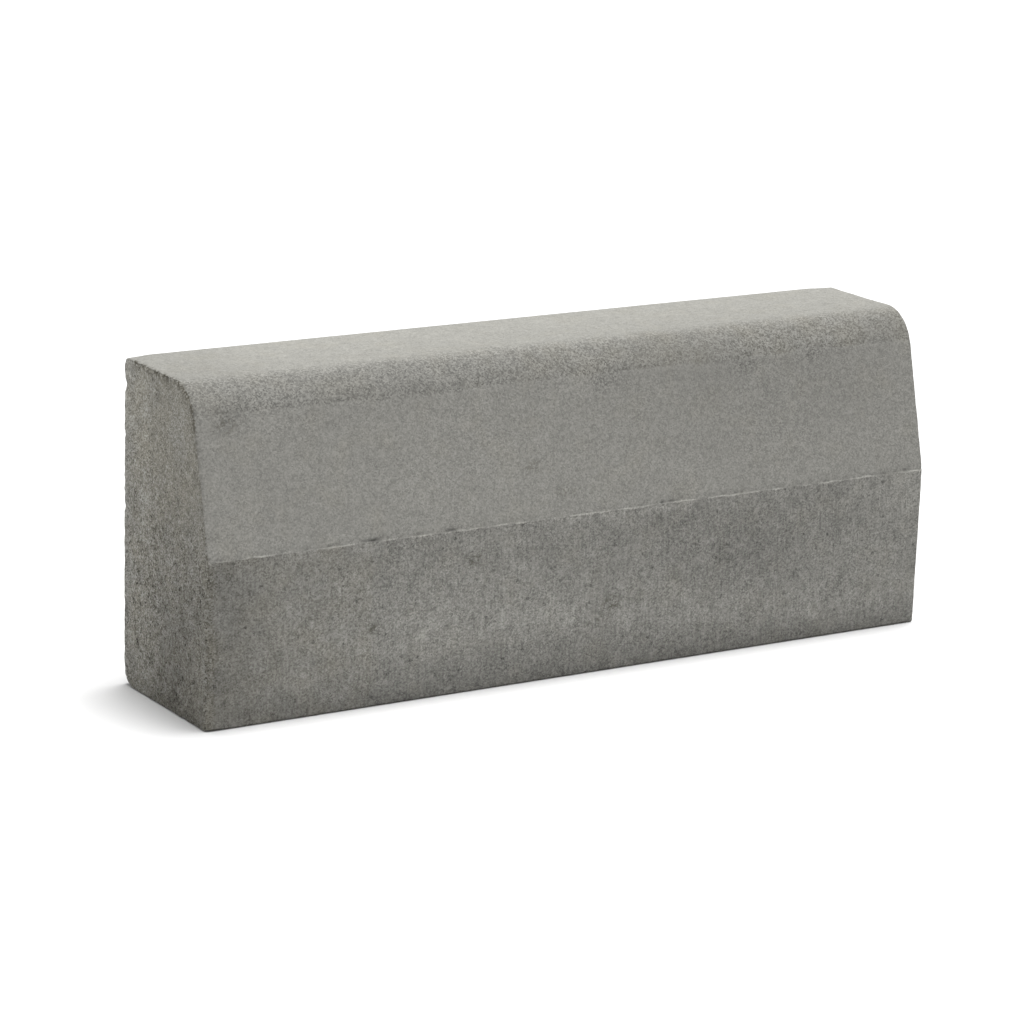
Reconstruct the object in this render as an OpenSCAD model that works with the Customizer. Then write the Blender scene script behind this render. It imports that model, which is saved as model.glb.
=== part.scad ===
// Half-battered concrete kerb stone, pressed in one piece in a steel mould.
// The section is the same from end to end. X runs along the kerb, -Y faces the road and +Z is up.
// The origin is the middle of the bed, the face that the stone is laid on.

/* [Block] */
// Length of one stone along the run
kerb_length = 700; // [400:10:1000]
// Width at the crest, which is the widest line of the section
kerb_width = 150; // [120:1:220]
// Height from the bed to the top
kerb_height = 275; // [220:1:350]

/* [Road face] */
// Height of the crest, the line where the lower face ends and the batter begins
crest_height = 139; // [90:1:170]
// How far back from the crest the batter would meet the top, if the nose were square
batter_setback = 33; // [10:1:50]
// How far back from the crest the lower face is at the bed
foot_setback = 2; // [0:0.5:6]

/* [Arrises] */
// Radius of the nose, between the batter and the top
nose_radius = 36; // [10:1:50]
// Radius of the arris between the top and the back
back_arris_radius = 3; // [1:0.5:8]
// Radius of the two arrises of the bed
bed_arris_radius = 2; // [1:0.5:8]

/* [Hidden] */

$fn = 96;

// How far the cutters reach past the surface that they cut
overcut = 5;

road_y = -kerb_width / 2;
back_y = kerb_width / 2;

// Corners of the section with every arris square, as [y, z], and the radius of each
section_corners = [
    [[road_y + foot_setback, 0], bed_arris_radius],
    [[back_y, 0], bed_arris_radius],
    [[back_y, kerb_height], back_arris_radius],
    [[road_y + batter_setback, kerb_height], nose_radius],
    [[road_y, crest_height], 0],
];
corner_count = len(section_corners);

function corner(i) = section_corners[(i + corner_count) % corner_count][0];
function radius(i) = section_corners[i][1];
function unit(v) = v / norm(v);

// Directions from corner i to its two neighbours
function to_last(i) = unit(corner(i - 1) - corner(i));
function to_next(i) = unit(corner(i + 1) - corner(i));

// Centre of the arc of radius r that touches both sides of corner i.
// It lies on the line that halves the corner, r over the sine of half the angle away.
function half_sine(i) = sqrt((1 - to_last(i) * to_next(i)) / 2);
function arc_centre(i, r) = corner(i) + unit(to_last(i) + to_next(i)) * r / half_sine(i);

// Foot of the perpendicular from point p to the side that leaves corner i along direction d
function foot_on(i, d, p) = corner(i) + d * ((p - corner(i)) * d);

// What rounding takes off corner i: the kite between the corner and the arc's centre, less the arc's disc.
// The kite's outer points stand clear of the section, so that no side of it lies along a side of the section.
module arris_waste(i) {
    r = radius(i);
    centre = arc_centre(i, r);
    last_foot = foot_on(i, to_last(i), centre);
    next_foot = foot_on(i, to_next(i), centre);
    reach = (r + overcut) / r;
    difference() {
        polygon([
            centre,
            centre + (last_foot - centre) * reach,
            centre + (corner(i) - centre) * reach,
            centre + (next_foot - centre) * reach,
        ]);
        translate(centre) circle(r = r);
    }
}

// Outline of the section in the Y-Z plane
module kerb_section() {
    difference() {
        polygon([for (i = [0 : corner_count - 1]) corner(i)]);
        for (i = [0 : corner_count - 1])
            if (radius(i) > 0) arris_waste(i);
    }
}

// The stone: its section carried along the run
module kerb_stone() {
    color("#8f8e88")
        rotate([90, 0, 90])
            linear_extrude(height = kerb_length, center = true)
                kerb_section();
}

kerb_stone();
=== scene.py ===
import bpy
import numpy as np
from mathutils import Matrix, Vector
from mathutils.geometry import delaunay_2d_cdt


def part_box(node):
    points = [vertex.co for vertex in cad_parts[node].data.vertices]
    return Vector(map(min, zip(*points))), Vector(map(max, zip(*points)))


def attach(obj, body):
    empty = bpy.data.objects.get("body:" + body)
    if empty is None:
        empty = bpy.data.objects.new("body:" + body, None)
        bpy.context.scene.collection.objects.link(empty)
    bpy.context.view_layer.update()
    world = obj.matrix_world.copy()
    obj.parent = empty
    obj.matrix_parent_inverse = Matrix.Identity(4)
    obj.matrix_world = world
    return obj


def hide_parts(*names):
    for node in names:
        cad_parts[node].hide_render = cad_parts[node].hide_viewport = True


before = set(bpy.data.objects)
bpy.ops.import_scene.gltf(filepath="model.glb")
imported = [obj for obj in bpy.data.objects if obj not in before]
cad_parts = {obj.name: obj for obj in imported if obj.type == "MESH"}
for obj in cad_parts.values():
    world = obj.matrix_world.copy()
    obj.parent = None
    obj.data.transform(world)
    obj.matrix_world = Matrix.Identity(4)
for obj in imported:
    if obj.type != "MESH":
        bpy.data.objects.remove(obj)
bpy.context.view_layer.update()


# ---- Kerb stone ----------------------------------------------------------------------------------
# One block of semi-dry concrete, pressed in a steel mould and turned out at once, so it is one closed skin.
# The mould leaves the batter and the top tight, drags the nose sandy, and leaves a thin fin along the crest.
# The left end was struck off, not moulded, so it is open and crumbly.
MM = 0.001
low, high = (np.array(corner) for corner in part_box("kerb_stone"))
HALF_LENGTH = high[0]
BACK = high[1]
ROAD = low[1]
TOP = high[2]
CREST = 139 * MM
BATTER_SETBACK = 33 * MM
FOOT_SETBACK = 2 * MM
NOSE_RADIUS = 36 * MM
BACK_ARRIS = 3 * MM
BED_ARRIS = 2 * MM

# How far apart the skin's points lie, across and along the stone.
FACE_STEP = 2.05 * MM
BACK_STEP = 3.8 * MM
RUN_STEP = 2.2 * MM
LEFT_END_STEP = 2.1 * MM
RIGHT_END_STEP = 3.4 * MM


def unit(v):
    """A vector, or each row of an array of them, over its own length."""
    return v / np.linalg.norm(v, axis=-1, keepdims=True)


def lattice(cells, seed):
    """A number from 0 to 1 for each whole-numbered cell: its three coordinates, each times a large odd
    number, are mixed bit by bit."""
    h = cells[..., 0] * 374761393 + cells[..., 1] * 668265263 + cells[..., 2] * 2147483647 + seed * 144665
    h = h.astype(np.uint64) & 0xFFFFFFFF
    h = ((h ^ (h >> 13)) * 1274126177) & 0xFFFFFFFF
    h = ((h ^ (h >> 16)) * 2246822519) & 0xFFFFFFFF
    return ((h ^ (h >> 15)) & 0xFFFFFF).astype(float) / 0xFFFFFF


def waves(points, size, seed, octaves=1):
    """Smooth random waves from -1 to 1 with humps about `size` across: the lattice values at a cube's eight
    corners, blended by the quintic fade of the place within the cube. Each octave is half as large as the
    last and 0.55 as strong."""
    total, strength, reach = 0.0, 1.0, 0.0
    for octave in range(octaves):
        at = points / (size / 2**octave) + 31.7 * (octave + 1)
        cell = np.floor(at)
        t = at - cell
        t = t * t * t * (t * (t * 6 - 15) + 10)
        cell = cell.astype(np.int64)
        value = 0.0
        for corner in np.ndindex(2, 2, 2):
            share = np.prod(np.where(corner, t, 1 - t), axis=-1)
            value = value + share * lattice(cell + corner, seed + 17 * octave)
        total = total + strength * (2 * value - 1)
        reach += strength
        strength *= 0.55
    return total / reach


def ease(value, start, end):
    """0 at start, 1 at end, and a smooth cubic between."""
    t = np.clip((value - start) / (end - start), 0, 1)
    return t * t * (3 - 2 * t)


def section_rows(fine, coarse):
    """The stone's section as a closed row of points: straight runs between arcs that touch them. An arc
    starts its radius over the tangent of half the corner's angle away from the corner, and its centre lies on
    the corner's bisector. Gives the places, outward normals, lengths along the row, and the count of the fine
    rows, which go from the bed up the road face and over the top. The coarse ones go down the back and along
    the bed."""
    corners = np.array([
        (ROAD + FOOT_SETBACK, 0), (ROAD, CREST), (ROAD + BATTER_SETBACK, TOP), (BACK, TOP), (BACK, 0)])
    radii = [BED_ARRIS, 0, NOSE_RADIUS, BACK_ARRIS, BED_ARRIS]
    before = unit(np.roll(corners, 1, axis=0) - corners)
    after = unit(np.roll(corners, -1, axis=0) - corners)
    half = np.arccos(np.sum(before * after, axis=1)) / 2
    reach = np.array(radii) / np.tan(half)
    centres = corners + unit(before + after) * (np.array(radii) / np.sin(half))[:, None]
    places, normals = [], []
    fine_rows = 0
    for i in range(5):
        step = fine if i < 4 else coarse
        if radii[i]:
            start = before[i] * reach[i] + corners[i] - centres[i]
            end = after[i] * reach[i] + corners[i] - centres[i]
            angle = np.arctan2(start[1], start[0])
            turn = (np.arctan2(end[1], end[0]) - angle + np.pi) % (2 * np.pi) - np.pi
            count = max(4, round(abs(turn) * radii[i] / step))
            at = angle + turn * np.arange(count) / count
            arc = np.stack([np.cos(at), np.sin(at)], axis=1)
            places.append(centres[i] + radii[i] * arc)
            normals.append(arc)
        if i == 3:
            fine_rows = sum(len(p) for p in places)
            step = coarse
        run_start = corners[i] + after[i] * reach[i]
        run_end = corners[(i + 1) % 5] + before[(i + 1) % 5] * reach[(i + 1) % 5]
        run = np.linalg.norm(run_end - run_start)
        t = np.arange(round(run / step)) / round(run / step) * run
        by_crest = np.array([0.35, 0.8, 1.3, 1.9]) * MM
        if i == 0:
            t = np.concatenate([t[t < run - 2.4 * MM], run - by_crest[::-1]])
        if i == 1:
            t = np.concatenate([[0], by_crest, t[t > 2.4 * MM]])
        places.append(run_start + after[i] * t[:, None])
        outward = np.array([-after[i][1], after[i][0]])
        normals.append(np.repeat(outward[None], len(t), axis=0))
    places, normals = np.concatenate(places), np.concatenate(normals)
    crest_row = np.argmin(places[:, 0])
    normals[crest_row] = unit(normals[crest_row - 1] + normals[crest_row + 1])
    steps = np.linalg.norm(np.diff(places, axis=0, append=places[:1]), axis=1)
    return places, normals, np.concatenate([[0], np.cumsum(steps)[:-1]]), fine_rows + 1


def columns(step):
    """Places along the run, an odd number of them: even steps, and shorter and shorter ones by the ends."""
    by_end = np.cumsum([0, 0.5, 0.6, 0.7, 0.8, 1.0, 1.2, 1.4, 1.6, 1.8]) * MM
    inner = HALF_LENGTH - by_end[-1]
    count = 2 * round(inner / step)
    count += count % 2
    middle = np.linspace(-inner, inner, count + 1)
    return np.concatenate([-HALF_LENGTH + by_end[:-1], middle, HALF_LENGTH - by_end[:-1][::-1]])


rows, row_normals, row_lengths, fine_count = section_rows(FACE_STEP, BACK_STEP)
x_fine = columns(RUN_STEP)
x_coarse = x_fine[::2]


def skin(fine, coarse, row_count):
    """The faces of the long skin. The cells of the fine and the coarse grid are quads, and each of the two
    strips where they meet has three triangles for each coarse cell, as two fine cells meet a coarse one.
    Gives the quads, the strips' triangles, and the loops of points round the left and the right end."""
    fine_at = np.arange(fine * fine_count).reshape(fine, fine_count)
    coarse_rows = row_count - fine_count
    coarse_at = fine_at.size + np.arange(coarse * coarse_rows).reshape(coarse, coarse_rows)

    def quads(at):
        """Each cell of a grid of point numbers as the numbers of its four corners, in turn."""
        a, b, c, d = at[:-1, :-1], at[1:, :-1], at[1:, 1:], at[:-1, 1:]
        return np.stack([a, b, c, d], axis=-1).reshape(-1, 4)

    def strip(many, few):
        """Triangles between a fine line of points and a coarse one: a fan of three for each coarse step."""
        left, middle, right = many[:-2:2], many[1:-1:2], many[2::2]
        a, b = few[:-1], few[1:]
        fans = ((middle, a, left), (b, a, middle), (right, b, middle))
        return np.concatenate([np.stack(fan, axis=1) for fan in fans])

    into_back = strip(fine_at[:, -1], coarse_at[:, 0])
    into_bed = strip(fine_at[::-1, 0], coarse_at[::-1, -1])
    loops = [np.concatenate([fine_at[i], coarse_at[i]]) for i in (0, -1)]
    cells = np.concatenate([quads(fine_at), quads(coarse_at)])
    return cells, np.concatenate([into_back, into_bed]), loops


def end_points(spacing, insets):
    """Places inside the section: its own row set in by each inset, and a square grid of points further in.
    A set-in point stays only where it is as far from the whole edge as its inset."""
    outline = np.concatenate([rows, rows[:1]])
    dense = np.concatenate([outline[:-1] + t * np.diff(outline, axis=0) for t in (0, 0.25, 0.5, 0.75)])

    def clearance(points):
        """How far each point is from the nearest point of the edge."""
        return np.sqrt(((points[:, None] - dense[None]) ** 2).sum(axis=2).min(axis=1))

    kept = []
    for inset in insets:
        ring = rows - row_normals * inset
        kept.append(ring[clearance(ring) > 0.97 * inset])
    y = np.arange(ROAD, BACK, spacing) + spacing / 2
    z = np.arange(0, TOP, spacing) + spacing / 2
    grid = np.stack(np.meshgrid(y, z), axis=-1).reshape(-1, 2)
    beyond = ((grid[:, None] - rows[None]) * row_normals[None]).sum(axis=2).max(axis=1)
    grid = grid[beyond < 0]
    kept.append(grid[clearance(grid) > insets[-1] + 0.45 * spacing])
    return np.concatenate(kept)


def end_faces(loop, first, points):
    """Triangles that fill the section, by Delaunay's rule that no point lies within another triangle's
    circle, between the loop of the skin's own points and the points inside it. `first` is the first inner
    point's number in the mesh."""
    places = np.concatenate([rows, points])
    edges = [(i, (i + 1) % len(rows)) for i in range(len(rows))]
    filled = delaunay_2d_cdt([Vector(p) for p in places * 1000], edges, [], 1, 1e-7)
    source = np.array([ids[0] for ids in filled[3]])
    index = np.concatenate([loop, first + np.arange(len(points))])
    return index[source[np.array(filled[2])]]


skin_quads, skin_strips, (left_loop, right_loop) = skin(len(x_fine), len(x_coarse), len(rows))
left_points = end_points(LEFT_END_STEP, np.array([0.6, 1.3, 2.2, 3.4]) * MM)
right_points = end_points(RIGHT_END_STEP, np.array([0.7, 1.6, 2.7]) * MM)
skin_count = len(x_fine) * fine_count + len(x_coarse) * (len(rows) - fine_count)
left_faces = end_faces(left_loop, skin_count, left_points)[:, ::-1]
right_faces = end_faces(right_loop, skin_count + len(left_points), right_points)


def spread(values):
    """The section's row of values, once for each place along the run: first its fine rows for each fine
    place, then its coarse rows for each coarse place, as the skin's grids are laid out."""
    grids = ((x_fine, values[:fine_count]), (x_coarse, values[fine_count:]))
    return np.concatenate([np.tile(part, (len(run),) + (1,) * (values.ndim - 1)) for run, part in grids])


# Every point of the skin and of the two ends: its place, how far it is in from the nearer end, how far it is
# in from the skin, and the length along the section's row and the outward normal of the skin nearest to it.
skin_x = np.concatenate([np.repeat(x_fine, fine_count), np.repeat(x_coarse, len(rows) - fine_count)])
end_yz = np.concatenate([left_points, right_points])
nearest = ((end_yz[:, None] - rows[None]) ** 2).sum(axis=2).argmin(axis=1)
end_x = np.concatenate([np.full(len(left_points), -HALF_LENGTH), np.full(len(right_points), HALF_LENGTH)])
x = np.concatenate([skin_x, end_x])
yz = np.concatenate([spread(rows), end_yz])
out = np.concatenate([spread(row_normals), row_normals[nearest]])
along = np.concatenate([spread(row_lengths), row_lengths[nearest]])
end_depth = ((rows[nearest] - end_yz) * row_normals[nearest]).sum(axis=1)
depth_in = np.concatenate([np.zeros(len(skin_x)), end_depth])
side = np.sign(x)
from_end = HALF_LENGTH - np.abs(x)
on_end = np.concatenate([np.zeros(len(skin_x), bool), np.ones(len(end_x), bool)])
place = np.column_stack([x, yz])
rim = np.column_stack([side, yz + out * depth_in[:, None]])
z_rim = rim[:, 2]

# The arrises of the two ends, in millimetres of wear. The left one is crumbly along the top and the batter,
# and worn round below the crest. The right one came out of the mould nearly sharp. Within a square as wide as
# the wear, each point is drawn in from the square's outline to the quarter circle inside it.
ARRIS_CRUMB = 4.5 * MM
ragged = waves(rim, ARRIS_CRUMB, 3, 2)
slow = waves(rim, 30 * MM, 5)
left_wear = 2.1 + 2.2 * ragged + 0.3 * slow + 2.6 * (1 - ease(z_rim, CREST - 25 * MM, CREST + 5 * MM))
left_wear = np.where(rim[:, 1] > BACK - 1 * MM, 2.6 + 0.9 * ragged, left_wear)
left_wear = np.where(z_rim < 1 * MM, 1.5 + 0.4 * ragged, left_wear)
right_wear = 1.3 + 0.5 * ragged + 1.8 * ease(rim[:, 1], -20 * MM, 20 * MM)
wear = np.clip(np.where(side < 0, left_wear, right_wear), 0.4, None) * MM
edge_zone = (from_end < wear) & (depth_in < wear)
from_centre = np.column_stack([from_end - wear, depth_in - wear])
square = np.abs(from_centre).max(axis=1)
reach = np.linalg.norm(from_centre, axis=1)
shrink = np.where(edge_zone, square / np.maximum(reach, 1e-9), 1.0)
moved = wear[:, None] + from_centre * shrink[:, None]
new_from_end = np.where(edge_zone, moved[:, 0], from_end)
new_depth = np.where(edge_zone, moved[:, 1], depth_in)
place[:, 0] = side * (HALF_LENGTH - new_from_end)
place[:, 1:] = place[:, 1:] - out * (new_depth - depth_in)[:, None]

# Four stretches of the long arrises are knocked round in the same way. Each row gives the corner in the
# section, its radius at the end of the stone, and the run in which it fades out, which is negative from the
# left end and positive from the right.
for corner_y, corner_z, radius, run in (
    (BACK, 0, 18 * MM, -60 * MM),
    (BACK, TOP, 8 * MM, -35 * MM),
    (ROAD + FOOT_SETBACK, 0, 4 * MM, -30 * MM),
    (BACK, TOP, 8 * MM, 45 * MM),
):
    fade = ease((place[:, 0] - np.sign(run) * HALF_LENGTH) * -np.sign(run), abs(run), 0)
    radius = radius * fade
    inward = np.array([-1 if corner_y > 0 else 1, 1 if corner_z == 0 else -1])
    spot = (place[:, 1:] - [corner_y, corner_z]) * inward
    near = (radius > 0.1 * MM) & (spot[:, 0] < radius) & (spot[:, 1] < radius)
    arm = spot - radius[:, None]
    square = np.abs(arm).max(axis=1)
    reach = np.maximum(np.linalg.norm(arm, axis=1), 1e-9)
    drawn = radius[:, None] + arm * (square / reach)[:, None]
    place[:, 1:] = np.where(near[:, None], [corner_y, corner_z] + drawn * inward, place[:, 1:])

corner_faces = np.concatenate([skin_strips, left_faces, right_faces])
triangles = np.concatenate([skin_quads[:, [0, 1, 2]], skin_quads[:, [0, 2, 3]], corner_faces])


def point_normals(places, corners):
    """Each point's normal: the sum of the cross products of two sides of each triangle that meets there."""
    a, b, c = (places[corners[:, k]] for k in range(3))
    face = np.cross(b - a, c - a)
    total = np.zeros_like(places)
    for k in range(3):
        for axis in range(3):
            total[:, axis] += np.bincount(corners[:, k], face[:, axis], len(places))
    return unit(total)


normals = point_normals(place, triangles)

# Which part of the stone each point is on, as numbers from 0 to 1. `along` runs up the road face, and the
# nose is the part of the section whose normal turns from the batter's to straight up.
crest_row = np.argmin(rows[:, 0])
crest_at = row_lengths[crest_row]
upward = row_normals[:, 1]
nose_rows = (upward > upward[crest_row + 8] + 1e-6) & (upward < 1 - 1e-9) & (rows[:, 0] < 0)
nose_start, nose_end = row_lengths[nose_rows][[0, -1]]
above_crest = along - crest_at
warp = waves(place, 22 * MM, 11, 2)
left_end = (on_end & (side < 0)).astype(float)
right_end = (on_end & (side > 0)).astype(float)
skin_share = 1 - left_end - right_end
lower_face = skin_share * (above_crest < 0) * (place[:, 1] < 0)
back_and_bed = skin_share * ((along > row_lengths[fine_count - 1]) | (along < row_lengths[4]))
band_top = nose_end - 7 * MM + 3 * MM * warp
band_foot = nose_start + 1 * MM - 5 * MM * np.clip(waves(place, 45 * MM, 12, 2), 0, 1)
nose_band = skin_share * ease(along, band_foot - 1 * MM, band_foot + 1 * MM)
nose_band = nose_band * (1 - ease(along, band_top - 6 * MM, band_top + 6 * MM))
batter_face = skin_share * (above_crest >= 0) * (along < nose_end) * (1 - nose_band)

# How deep the surface lies under the mould's clean shape, in millimetres. The batter and the top are tight,
# the nose is sandy, the lower face is drier and rougher, and the struck end is open and crumbly, a little way
# round its arris too. The crest is sunk half a millimetre, but for the fin that wanders along it.
below_crest = 1 - ease(place[:, 2], CREST - 12 * MM, CREST + 2 * MM)
round_arris = skin_share * (side < 0) * (1 - ease(from_end, 1 * MM, 11 * MM)) * below_crest
open_skin = np.clip(left_end + 0.8 * round_arris, 0, 1)
smooth = waves(place, 14 * MM, 21, 2)
grainy = waves(place, 6.5 * MM, 22, 1)
crumbly = waves(place, 7 * MM, 23, 2)
hollows = np.clip(waves(place, 11 * MM, 24, 2) - 0.12, 0, 1)
relief = 0.10 * (1 + smooth)
relief = relief + nose_band * 0.16 * (1 + grainy)
relief = relief + (lower_face + 0.7 * back_and_bed) * 0.10 * (1 + grainy)
relief = relief + open_skin * (0.30 * (1 + crumbly) + 1.5 * hollows)
relief = relief + right_end * (0.15 * (1 + grainy) + 0.12 * (1 + crumbly) + 0.7 * hollows)
run_only = np.column_stack([place[:, 0], 0 * x, 0 * x])
fin = np.clip(0.5 + 1.5 * waves(run_only, 8 * MM, 25, 2), 0, 1)
wander = 1.3 * MM * waves(run_only, 9 * MM, 27, 3) * (1 + 1.0 * (x < -240 * MM))
on_fin = skin_share * np.exp(-((above_crest - wander) / (0.6 * MM)) ** 2) * fin
sunk = skin_share * np.exp(-(above_crest / (3 * MM)) ** 2)
relief = relief * (1 - 0.9 * sunk) + 0.5 * sunk * (1 - on_fin)
torn = np.clip(0.1 + 1.3 * waves(place, 5 * MM, 26, 2), 0, 1)
by_arris = np.exp(-((from_end / (4 * MM)) ** 2 + (depth_in / (4 * MM)) ** 2)) * (side < 0)
crumbs = by_arris * ease(z_rim, CREST - 10 * MM, CREST + 5 * MM)
relief = relief + crumbs * 1.9 * torn
rear_notch = np.exp(-((place[:, 2] - 252 * MM) / (4 * MM)) ** 2) * (side < 0)
rear_notch = rear_notch * np.exp(-((from_end / (4 * MM)) ** 2 + ((BACK - place[:, 1]) / (4 * MM)) ** 2))
relief = relief + 2.4 * rear_notch
place = place - normals * np.clip(relief, 0, None)[:, None] * MM
place[:, 2] = np.clip(place[:, 2], 0, TOP)


def skin_mesh(name, places, quads, corners):
    """A mesh from places, and from quads and triangles as rows of point numbers, shaded smooth."""
    mesh = bpy.data.meshes.new(name)
    mesh.vertices.add(len(places))
    mesh.vertices.foreach_set("co", places.ravel())
    loops = np.concatenate([quads.ravel(), corners.ravel()])
    starts = np.concatenate([np.arange(len(quads)) * 4, len(quads) * 4 + np.arange(len(corners)) * 3])
    mesh.loops.add(len(loops))
    mesh.loops.foreach_set("vertex_index", loops)
    mesh.polygons.add(len(starts))
    mesh.polygons.foreach_set("loop_start", starts)
    mesh.polygons.foreach_set("use_smooth", np.ones(len(starts), bool))
    mesh.update(calc_edges=True)
    mesh.validate()
    return mesh


stone_mesh = skin_mesh("kerb_stone_skin", place, skin_quads, corner_faces)


def blot(across, up, wide, tall):
    """A soft patch on the road face: a bell curve, 1 at its middle and 1/e at `wide` and `tall` millimetres
    from it, with its edge pushed about by the stone's own slow waves."""
    off = np.hypot((x - across * MM) / (wide * MM), (place[:, 2] - up * MM) / (tall * MM))
    return np.exp(-(off * (1 + 0.35 * patchy)) ** 2)


# How light each place is beside the plain grey, in sRGB steps of 1 in 255. The lower face is dark along its
# foot, as painted shade where it meets the floor, and dark at its left, with a pale cloud of bloom left of
# the middle. The top is painted palest, as painted light from the overhead lamp. The struck end is darkest
# low down by its front, partly dirt and partly painted shade. Rows of figures are millimetres, then steps.
patchy = waves(place, 38 * MM, 41, 3)
cloud = waves(place, 60 * MM, 42, 3)
mottle = waves(place, 11 * MM, 43, 2)
z, y = place[:, 2], place[:, 1]
worn_down = left_end * (1 - ease(z, 60 * MM, 240 * MM))
flat_top = skin_share * (1 - back_and_bed)
flat_top = flat_top * ease(along, nose_end - 15 * MM + 3 * MM * warp, nose_end + 1 * MM)
levels = 0.7 + 1.8 * cloud + 2.0 * mottle
# Painted light: the top is painted paler than the faces below, and paler still towards the back, for the
# overhead lamp.
top_painted_light = 12 + 6 * ease(y, -35 * MM, 60 * MM) - 8 * (1 - ease(x, -345 * MM, -230 * MM))
nose_middle = (nose_start + nose_end) / 2
nose_marks = -11.5 + 10.5 * ease(along, nose_middle, nose_end - 4 * MM)
levels = levels + flat_top * top_painted_light + nose_band * nose_marks
drag = np.exp(-((along - nose_start - 3.5 * MM) / (1.5 * MM)) ** 2) * skin_share
levels = levels - 3 * drag * np.clip(0.3 + 1.5 * waves(run_only, 45 * MM, 44, 2), 0, 1)
# Painted shade: the lower face is painted darker along its foot, where it meets the floor; the rest is its
# own tone, dark at its left, with blots.
lower_tone_and_shade = -3 - 15 * (1 - ease(x, -335 * MM, -265 * MM)) * ease(z, 0, 30 * MM)
lower_tone_and_shade = lower_tone_and_shade - 12 * (1 - ease(z, 4 * MM, 28 * MM)) + 3 * mottle + 4 * waves(place, 17 * MM, 50)
for across, up, wide, tall, strength in (
    (-135, 62, 85, 32, 11),
    (-10, 52, 75, 24, 9),
    (165, 85, 48, 34, -9),
    (60, 112, 90, 18, -4),
    (335, 128, 28, 34, 8),
    (-60, 28, 170, 11, -7),
    (290, 34, 90, 22, 7),
    (120, 42, 70, 22, 8),
    (-80, 100, 60, 16, 4),
    (-200, 67, 5, 4, -9),
    (-108, 112, 5, 3, -8),
):
    lower_tone_and_shade = lower_tone_and_shade + strength * blot(across, up, wide, tall)
levels = levels + lower_face * lower_tone_and_shade
batter_marks = -5 * blot(215, 230, 120, 45) + 2 * blot(-100, 175, 120, 30)
levels = levels + batter_face * batter_marks
# Painted shade: the end's sunk hollows are painted darker, and the end is painted darker low down by its
# front and lighter up and to the back, partly dirt and partly painted shade for the floor's shadow beside it.
end_tone_and_shade = 1 - 16 * hollows + (4 + 2 * worn_down) * waves(place * [1, 1.6, 0.8], 26 * MM, 47, 2)
end_tone_and_shade = end_tone_and_shade - 16 * (1 - ease(z, 0, 200 * MM)) * (1 - ease(y, -20 * MM, 55 * MM))
end_tone_and_shade = end_tone_and_shade + 4 * ease(z, 150 * MM, 270 * MM) + 8 * ease(y, 5 * MM, 40 * MM)
end_tone_and_shade = end_tone_and_shade + 8 * ease(y, 40 * MM, 70 * MM) * ease(z, 180 * MM, 250 * MM)
# Painted shade: the back and bed are painted darker towards the foot and lighter just under the top; the
# right end takes the same, with its sunk hollows painted darker.
back_tone_and_shade = -8 + 3 * mottle + 5 * cloud - 9 * (1 - ease(z, 4 * MM, 40 * MM)) + 5 * ease(z, 225 * MM, TOP)
levels = levels + back_and_bed * back_tone_and_shade + right_end * (back_tone_and_shade - 2 - 14 * hollows)
levels = levels + left_end * end_tone_and_shade

# The crest: a fin painted pale as a painted highlight, a pale strip of paste just under its middle, and dark
# specks and chinks just over it as painted shade in the groove.
# Painted highlight: the fin is painted pale where it catches the overhead light.
levels = levels + 30 * on_fin
strip = np.exp(-((above_crest + 3 * MM) / (2.4 * MM)) ** 2)
strip = strip * ease(x, -90 * MM, -50 * MM) * (1 - ease(x, 110 * MM, 150 * MM))
levels = levels + 13 * skin_share * strip * np.clip(0.6 + waves(run_only, 16 * MM, 48, 2), 0, 1)
# Painted shade: dark specks and chinks painted in the sunk groove just over the fin, where the batter
# overhangs it.
for across, run in ((78, 14), (-195, 11), (-128, 7), (228, 20)):
    fleck_shade = np.exp(-((x - across * MM) / (run * MM)) ** 2 - ((above_crest - 2 * MM) / (1.7 * MM)) ** 2)
    fleck_shade = fleck_shade * np.clip(0.1 + 2 * waves(place * [1, 2, 2], 5 * MM, 49, 2), 0, 1)
    levels = levels - 42 * skin_share * fleck_shade
undercut_shade = np.clip(waves(place * [1, 3, 3], 6 * MM, 45, 2) - 0.1, 0, 1)
undercut_shade = undercut_shade * np.clip(waves(run_only, 50 * MM, 46) + 0.35, 0, 1)
levels = levels - 60 * undercut_shade * skin_share * np.exp(-((above_crest - 1.9 * MM) / (1.3 * MM)) ** 2)

# Sandy, darker patches hang below the nose where the mould dragged.
sandy = nose_band * (1 - 0.3 * ease(along, nose_middle, nose_end))
for across, below, wide, tall, strength in (
    (-321, 1, 13, 9, -13),
    (32, 5, 12, 7, -9),
    (172, 5, 11, 8, -9),
    (243, 2, 14, 5, -9),
):
    off = ((x - across * MM) / (wide * MM)) ** 2 + ((nose_start - along - below * MM) / (tall * MM)) ** 2
    patch = skin_share * np.exp(-off * (1 + 0.6 * patchy))
    sandy = np.maximum(sandy, patch)
    levels = levels + strength * patch * (1 - 0.6 * nose_band)

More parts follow.
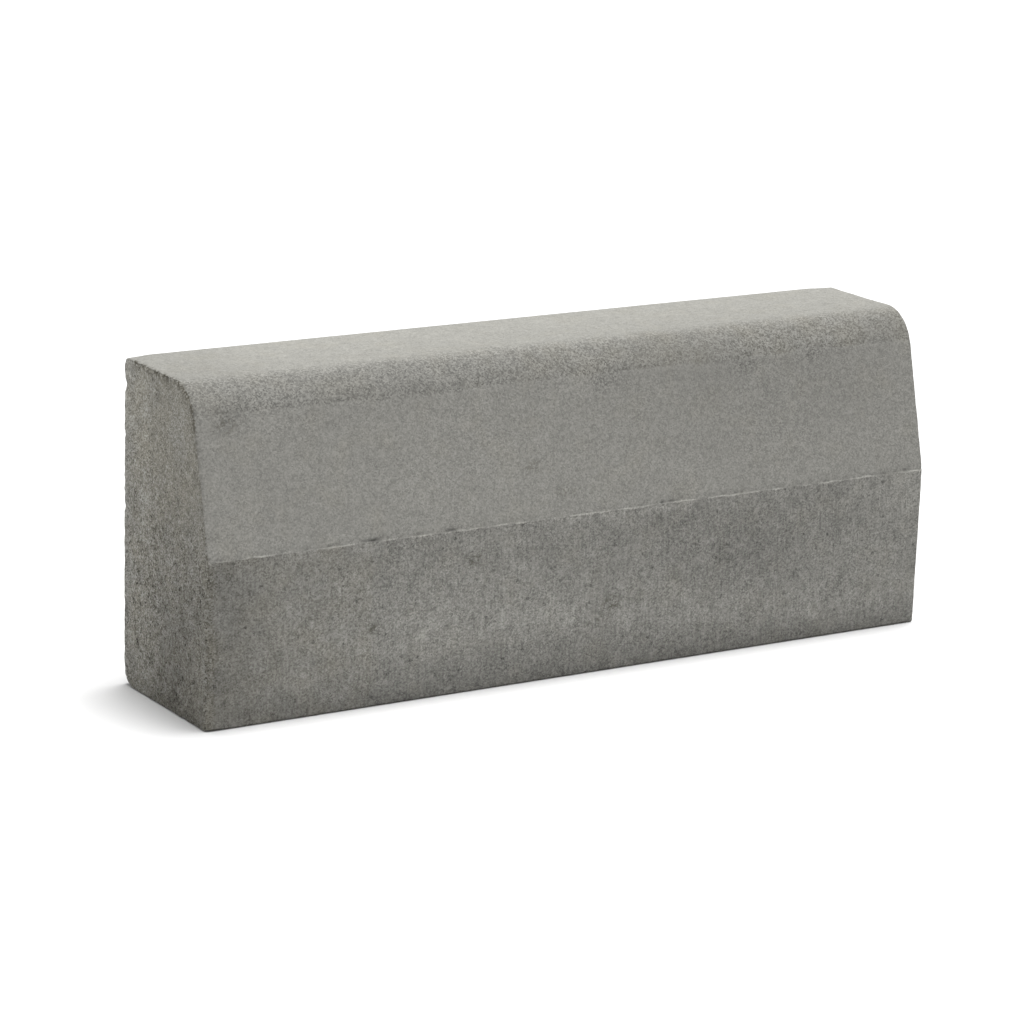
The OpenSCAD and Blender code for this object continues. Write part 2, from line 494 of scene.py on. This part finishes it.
# Dirt sits in the crumbs of the left arris above the crest, and in a few clusters on the road face.
near_arris = ((from_end / (2.6 * MM)) ** 2
              + (depth_in / ((3 + 2.5 * ease(z, 200 * MM, 235 * MM)) * MM)) ** 2)
dirt = np.exp(-near_arris) * (side < 0) * ease(z_rim, CREST - 10 * MM, CREST + 5 * MM)
dirt = dirt * (1 - ease(y, 55 * MM, 68 * MM)) * (0.35 + 0.65 * ease(z, 225 * MM, 250 * MM))
for across, up, wide, tall in (
    (-200, 67, 7, 5),
    (-106, 113, 9, 5),
    (30, 58, 10, 7),
    (22, 44, 8, 5),
    (-45, 182, 8, 5),
    (-15, 160, 10, 4),
    (-322, 242, 10, 7),
):
    off = ((x - across * MM) / (wide * MM)) ** 2 + ((z - up * MM) / (tall * MM)) ** 2
    dirt = np.maximum(dirt, 0.8 * np.exp(-off) * (lower_face + 0.7 * batter_face + 0.8 * nose_band))


def point_value(name, values):
    """A number for each point of the skin, which the concrete's nodes read by name."""
    layer = stone_mesh.attributes.new(name, "FLOAT", "POINT")
    layer.data.foreach_set("value", np.ascontiguousarray(values, dtype=np.float32))


# The light of each place as a share of the plain grey's, from its steps by the power of the sRGB curve. Then
# how strongly the sand grains, crumbs, mottling, upright streaks, brown of the paste, pits and dirt show.
PLAIN_GREY_STEPS = 138
SRGB_CURVE = 2.25
plain = 1 + 0.25 * cloud
rough = lower_face + 0.7 * back_and_bed + 0.8 * right_end
grain = 0.41 + 0.22 * rough + 0.33 * sandy + 0.32 * open_skin + 0.18 * worn_down - 0.18 * flat_top
crumb = 0.38 + 0.31 * rough + 0.4 * right_end - 0.1 * sandy
# On the struck end the crumbs are stronger in colour, partly as painted shade of the crumbly relief.
crumb = crumb + open_skin + worn_down + 0.27 * flat_top
brown = open_skin * (0.85 - 0.6 * ease(y, 45 * MM, 72 * MM)) + 0.25 * lower_face * (x < -200 * MM)
brown = brown + 0.6 * right_end + 0.2 * back_and_bed
brown = brown + nose_band * (0.05 + 0.2 * ease(x, -250 * MM, 250 * MM))
point_value("tone", (1 + levels / PLAIN_GREY_STEPS) ** SRGB_CURVE)
point_value("grain", plain * grain)
point_value("crumb", plain * crumb)
point_value("mottle", 0.36 + 0.2 * rough + 0.2 * open_skin + 0.85 * worn_down)
point_value("upright", lower_face + 0.6 * back_and_bed)
point_value("brown", brown)
point_value("pits", 0.25 * batter_face + 0.2 * flat_top + rough + 0.8 * open_skin)
point_value("dirt", dirt)

stone = bpy.data.objects.new("kerb_stone_visual", stone_mesh)
bpy.context.scene.collection.objects.link(stone)


def srgb(code):
    """An sRGB hex value as linear red, green, blue and a full alpha. A share up to 0.04045 is taken over
    12.92, and above that 0.055 is added, it is taken over 1.055, and raised to the power 2.4."""
    steps = [int(code[i:i + 2], 16) / 255 for i in (1, 3, 5)]
    return [c / 12.92 if c <= 0.04045 else ((c + 0.055) / 1.055) ** 2.4 for c in steps] + [1.0]


def add_node(tree, kind, links, out=0, **settings):
    """Adds a node of a kind with its settings, puts a value or another node's output on each named or
    numbered input, and gives the output that `out` names or numbers, or none for a node with no output."""
    node = tree.nodes.new(kind)
    for key, value in settings.items():
        setattr(node, key, value)
    for key, value in links.items():
        if isinstance(value, bpy.types.NodeSocket):
            tree.links.new(value, node.inputs[key])
        else:
            node.inputs[key].default_value = value
    return node.outputs[out] if len(node.outputs) else None


# Pressed concrete: sand and fine crushed stone in grey cement paste, rammed semi-dry, and never trowelled or
# coated. To the eye it is a matt mid grey, faintly warm, salted with sand grains and small crumbs, clouded
# where it dried unevenly, and pricked with air pits where the paste didn't close. The real grains are 0.5 to
# 1 mm, and are drawn at 1.2 mm, as coarse as they need to be to show. The crumbs are 3 mm, the mottling 8 mm,
# the damp streaks 2 mm wide and nine times as tall, and the pits up to 3 mm across in 12 mm cells.
GRAIN = 1.2 * MM
CRUMBS = 2.9 * MM
MOTTLING = 8 * MM
STREAK = 1.9 * MM
PIT_CELL = 12 * MM
STAIN = 26 * MM
SPECK = 3.4 * MM
GREY_PASTE = srgb("#85847f")
WARM_PASTE = srgb("#87847a")
DIRT = srgb("#535046")

concrete = bpy.data.materials.new("pressed_concrete")
concrete.use_nodes = True
tree = concrete.node_tree
tree.nodes.clear()
where = add_node(tree, "ShaderNodeTexCoord", {}, "Object")
tone_value, grain_value, crumb_value, mottle_value, upright_value, brown_value, pits_value, dirt_value = (
    add_node(tree, "ShaderNodeAttribute", {}, "Fac", attribute_name=name)
    for name in ("tone", "grain", "crumb", "mottle", "upright", "brown", "pits", "dirt"))

# Four patterns about zero: sand grains, each with its own shade, crumbs, mottling and streaks.
grain_colour = add_node(tree, "ShaderNodeTexVoronoi", {"Vector": where, "Scale": 1 / GRAIN}, "Color")
grain_shade = add_node(tree, "ShaderNodeSeparateColor", {0: grain_colour})
crumb_noise = add_node(tree, "ShaderNodeTexNoise", {
    "Vector": where, "Scale": 1 / CRUMBS, "Detail": 2.0, "Roughness": 0.6, "Distortion": 1.5})
broad_noise = add_node(tree, "ShaderNodeTexNoise", {
    "Vector": where, "Scale": 1 / MOTTLING, "Detail": 3.0, "Roughness": 0.6, "Distortion": 0.8})
drawn_up = add_node(tree, "ShaderNodeMapping", {"Vector": where, "Scale": (1, 1, 0.11)})
streak_noise = add_node(tree, "ShaderNodeTexNoise", {"Vector": drawn_up, "Scale": 1 / STREAK, "Detail": 1.0})
grain_wave, crumb_wave, broad_wave, streak_wave = (
    add_node(tree, "ShaderNodeMath", {0: pattern, 1: 0.5}, operation="SUBTRACT")
    for pattern in (grain_shade, crumb_noise, broad_noise, streak_noise))

# Each pattern times its share at the point, all added to 1, and times the tone there.
grained = add_node(tree, "ShaderNodeMath", {0: grain_wave, 1: grain_value}, operation="MULTIPLY")
crumbed = add_node(tree, "ShaderNodeMath", {0: crumb_wave, 1: crumb_value}, operation="MULTIPLY")
streaked = add_node(tree, "ShaderNodeMath", {0: streak_wave, 1: upright_value}, operation="MULTIPLY")
pattern = add_node(tree, "ShaderNodeMath", {0: grained, 1: crumbed}, operation="ADD")
pattern = add_node(tree, "ShaderNodeMath", {
    0: broad_wave, 1: mottle_value, 2: pattern}, operation="MULTIPLY_ADD")
pattern = add_node(tree, "ShaderNodeMath", {0: streaked, 1: 0.5, 2: pattern}, operation="MULTIPLY_ADD")
light = add_node(tree, "ShaderNodeMath", {0: tone_value, 1: pattern, 2: tone_value}, operation="MULTIPLY_ADD")

# Air pits: a round spot at each cell's middle, of a size that the cell draws, with an edge broken by crumbs.
# The spot is painted up to 36 per cent darker, as painted shade inside the pit.
pit_cells = add_node(tree, "ShaderNodeTexVoronoi", {"Vector": where, "Scale": 1 / PIT_CELL}, "Distance").node
pit_size = add_node(tree, "ShaderNodeSeparateColor", {0: pit_cells.outputs["Color"]}, 1)
pit_edge = add_node(tree, "ShaderNodeMath", {
    0: crumb_wave, 1: 0.4, 2: pit_cells.outputs["Distance"]}, operation="MULTIPLY_ADD")
pit_floor = add_node(tree, "ShaderNodeMath", {0: pit_size, 1: 0.13, 2: -0.03}, operation="MULTIPLY_ADD")
pit_brim = add_node(tree, "ShaderNodeMath", {0: pit_size, 1: 0.16, 2: 0.0}, operation="MULTIPLY_ADD")
pit_spot = add_node(tree, "ShaderNodeMapRange", {
    "Value": pit_edge, "From Min": pit_floor, "From Max": pit_brim, "To Min": 1.0, "To Max": 0.0})
pit = add_node(tree, "ShaderNodeMath", {0: pit_spot, 1: pits_value}, operation="MULTIPLY")
pit_painted_shade = add_node(tree, "ShaderNodeMath", {0: pit, 1: -0.36, 2: 1.0}, operation="MULTIPLY_ADD")
light = add_node(tree, "ShaderNodeMath", {0: light, 1: pit_painted_shade}, operation="MULTIPLY")

# The paste drifts between grey and brown, and where it is brown the light grains stay grey. Dirt is specks.
stain = add_node(tree, "ShaderNodeTexNoise", {"Vector": where, "Scale": 1 / STAIN, "Detail": 2.0})
stain_wave = add_node(tree, "ShaderNodeMath", {0: stain, 1: 0.5}, operation="SUBTRACT")
stain_share = add_node(tree, "ShaderNodeMath", {0: brown_value, 1: 1.1, 2: 0.9}, operation="MULTIPLY_ADD")
warm = add_node(tree, "ShaderNodeMath", {
    0: stain_wave, 1: stain_share, 2: brown_value}, operation="MULTIPLY_ADD")
on_brown = add_node(tree, "ShaderNodeMath", {0: pattern, 1: brown_value}, operation="MULTIPLY")
warm = add_node(tree, "ShaderNodeMath", {0: on_brown, 1: -2.2, 2: warm}, operation="MULTIPLY_ADD")
paste = add_node(tree, "ShaderNodeMix", {0: warm, 6: GREY_PASTE, 7: WARM_PASTE}, 2, data_type="RGBA")
colour = add_node(tree, "ShaderNodeVectorMath", {0: paste, "Scale": light}, operation="SCALE")
specks = add_node(tree, "ShaderNodeTexNoise", {
    "Vector": where, "Scale": 1 / SPECK, "Detail": 3.0, "Distortion": 0.8})
speck = add_node(tree, "ShaderNodeMapRange", {"Value": specks, "From Min": 0.47, "From Max": 0.56})
soil = add_node(tree, "ShaderNodeMath", {0: speck, 1: dirt_value}, operation="MULTIPLY")
soiled = add_node(tree, "ShaderNodeMix", {0: soil, 6: colour, 7: DIRT}, 2, data_type="RGBA")

# The crumbs stand up to half a millimetre proud, the grains a few hundredths, and the pits sink 0.4 mm.
height = add_node(tree, "ShaderNodeMath", {0: grained, 1: 0.10}, operation="MULTIPLY")
height = add_node(tree, "ShaderNodeMath", {0: crumbed, 1: 1.1, 2: height}, operation="MULTIPLY_ADD")
height = add_node(tree, "ShaderNodeMath", {0: pit, 1: -0.4, 2: height}, operation="MULTIPLY_ADD")
bump = add_node(tree, "ShaderNodeBump", {"Height": height, "Distance": 1 * MM, "Strength": 1.0})
surface = add_node(tree, "ShaderNodeBsdfPrincipled", {
    "Base Color": soiled, "Normal": bump, "Roughness": 0.92, "IOR": 1.5, "Specular IOR Level": 0.3})
add_node(tree, "ShaderNodeOutputMaterial", {"Surface": surface})
stone_mesh.materials.append(concrete)
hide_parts("kerb_stone")
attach(stone, "root")


# ---- Floor and light -----------------------------------------------------------------------------
# A plain white paper floor, wide enough that its edge is never seen, in even white studio air, under one
# broad soft lamp nearly straight overhead that leans a little to the right and a touch to the back.
FLOOR_HALF = 30.0
AIR_STRENGTH = 0.45
LAMP_STRENGTH = 3.8
LAMP_SPREAD = np.radians(26)
LAMP_LEAN_RIGHT, LAMP_LEAN_BACK = np.radians([7.5, 0.5])
floor_mesh = bpy.data.meshes.new("studio_floor")
floor_corners = [(-FLOOR_HALF, -FLOOR_HALF, 0), (FLOOR_HALF, -FLOOR_HALF, 0),
                 (FLOOR_HALF, FLOOR_HALF, 0), (-FLOOR_HALF, FLOOR_HALF, 0)]
floor_mesh.from_pydata(floor_corners, [], [(0, 1, 2, 3)])
floor = bpy.data.objects.new("studio_floor", floor_mesh)
bpy.context.scene.collection.objects.link(floor)

# Uncoated white paper off a roll: flat white, with no gloss at all.
paper = bpy.data.materials.new("white_paper")
paper.use_nodes = True
paper_surface = paper.node_tree.nodes["Principled BSDF"].inputs
paper_surface["Base Color"].default_value = srgb("#e7e7e7")
paper_surface["Roughness"].default_value = 1.0
paper_surface["Specular IOR Level"].default_value = 0.0
floor_mesh.materials.append(paper)

world = bpy.data.worlds.new("studio_air")
bpy.context.scene.world = world
world.use_nodes = True
world.node_tree.nodes["Background"].inputs["Color"].default_value = (1, 1, 1, 1)
world.node_tree.nodes["Background"].inputs["Strength"].default_value = AIR_STRENGTH

overhead = bpy.data.lights.new("overhead_softbox", "SUN")
overhead.energy = LAMP_STRENGTH
overhead.angle = LAMP_SPREAD
lamp = bpy.data.objects.new("overhead_softbox", overhead)
towards_lamp = Vector((np.sin(LAMP_LEAN_RIGHT), np.sin(LAMP_LEAN_BACK), 1.0))
lamp.rotation_euler = towards_lamp.to_track_quat("Z", "Y").to_euler()
bpy.context.scene.collection.objects.link(lamp)


# ---- Camera --------------------------------------------------------------------------------------
# It stands a little over three metres off, to the left of the road face and above the top, behind a long
# lens, and is rolled a little, so that the stone runs up to the right. The depth of field stays off.
LENS_MM = 135.4
AZIMUTH, ELEVATION, ROLL = np.radians([-31.999, 14.793, 1.636])
DISTANCE = 3.2816
OFFSET_RIGHT, OFFSET_UP = -17.56 * MM, 119.0 * MM
flat = np.cos(ELEVATION)
back = np.array([np.sin(AZIMUTH) * flat, -np.cos(AZIMUTH) * flat, np.sin(ELEVATION)])
level = unit(np.cross([0, 0, 1], back))
upright_axis = np.cross(back, level)
right_axis = level * np.cos(ROLL) + upright_axis * np.sin(ROLL)
up_axis = -level * np.sin(ROLL) + upright_axis * np.cos(ROLL)
camera = bpy.data.objects.new("camera", bpy.data.cameras.new("camera"))
camera.data.lens = LENS_MM
camera.data.sensor_width = 36
camera.data.clip_end = 100
stand = back * DISTANCE + right_axis * OFFSET_RIGHT + up_axis * OFFSET_UP
facing = Matrix(np.column_stack([right_axis, up_axis, back])).to_4x4()
camera.matrix_world = Matrix.Translation(stand) @ facing
bpy.context.scene.collection.objects.link(camera)
bpy.context.scene.camera = camera
bpy.context.scene.view_settings.view_transform = "Standard"
